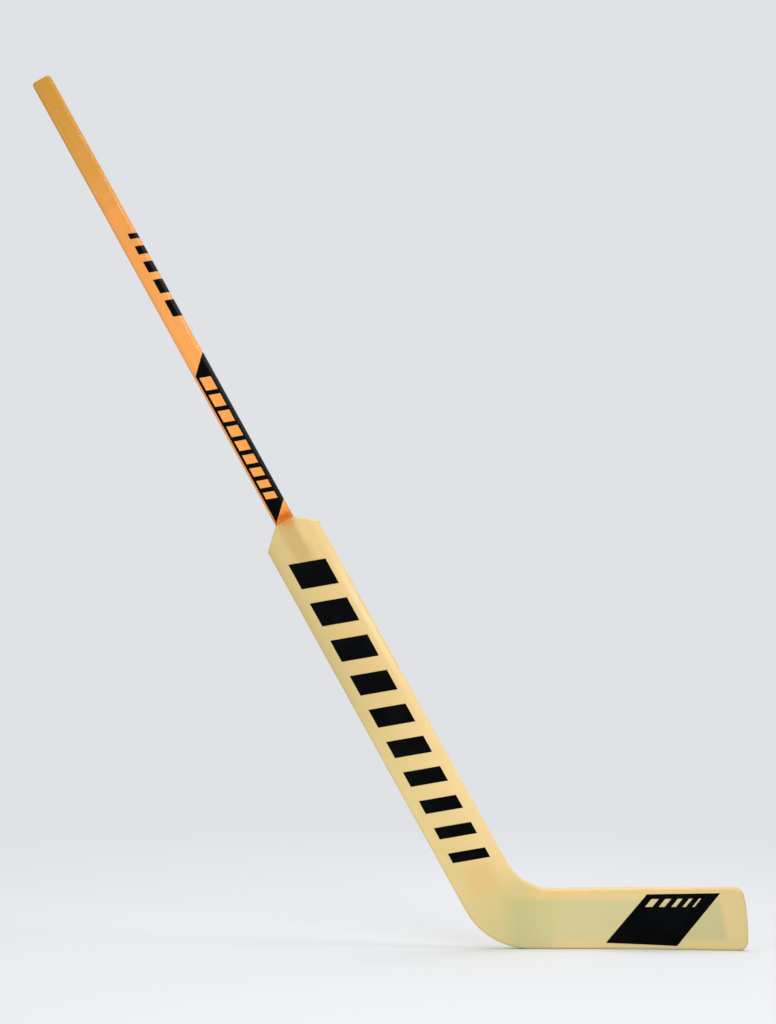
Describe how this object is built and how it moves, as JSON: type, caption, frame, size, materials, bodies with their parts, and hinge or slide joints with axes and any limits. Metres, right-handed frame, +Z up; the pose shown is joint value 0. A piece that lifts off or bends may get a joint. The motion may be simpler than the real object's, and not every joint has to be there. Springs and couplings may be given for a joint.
{
  "type": "hockey goalie stick",
  "caption": "Foam-core hockey goalie stick: slim laminated shaft, wide flat paddle with sloping shoulders, rounded heel and a curved, tapering blade.",
  "frame": {"origin": "centre of the neck, where the shaft meets the top of the paddle and the blocker hand holds the stick", "axes": "+X along the blade towards the toe, +Y out of the back face, +Z up from the ice; the sole is square to Z and the shaft leans back towards -X"},
  "size_m": [1.0413, 0.0387, 1.274],
  "materials": {
    "shaft_lacquer": "tinted orange gloss lacquer over laminated timber",
    "cream_skin": "cream gloss fibreglass laminate",
    "rigid_foam": "closed-cell rigid foam",
    "bare_timber": "bare pale timber",
    "toe_plastic": "tough moulded insert",
    "black_film": "printed black film under clear lacquer"
  },
  "bodies": {
    "root": {"shaft_front_veneer": "shaft_lacquer", "shaft_back_veneer": "shaft_lacquer", "outer_front_ply": "shaft_lacquer", "inner_front_ply": "shaft_lacquer", "centre_ply": "shaft_lacquer", "inner_back_ply": "shaft_lacquer", "outer_back_ply": "shaft_lacquer", "paddle_front_skin": "cream_skin", "paddle_back_skin": "cream_skin", "blade_front_skin": "cream_skin", "blade_back_skin": "cream_skin", "paddle_leading_foam": "rigid_foam", "paddle_trailing_foam": "rigid_foam", "paddle_leading_rail": "bare_timber", "paddle_trailing_rail": "bare_timber", "heel_block": "bare_timber", "blade_foam_core": "rigid_foam", "blade_top_strip": "bare_timber", "blade_sole_strip": "bare_timber", "blade_toe_insert": "toe_plastic"}
  },
  "joints": []
}
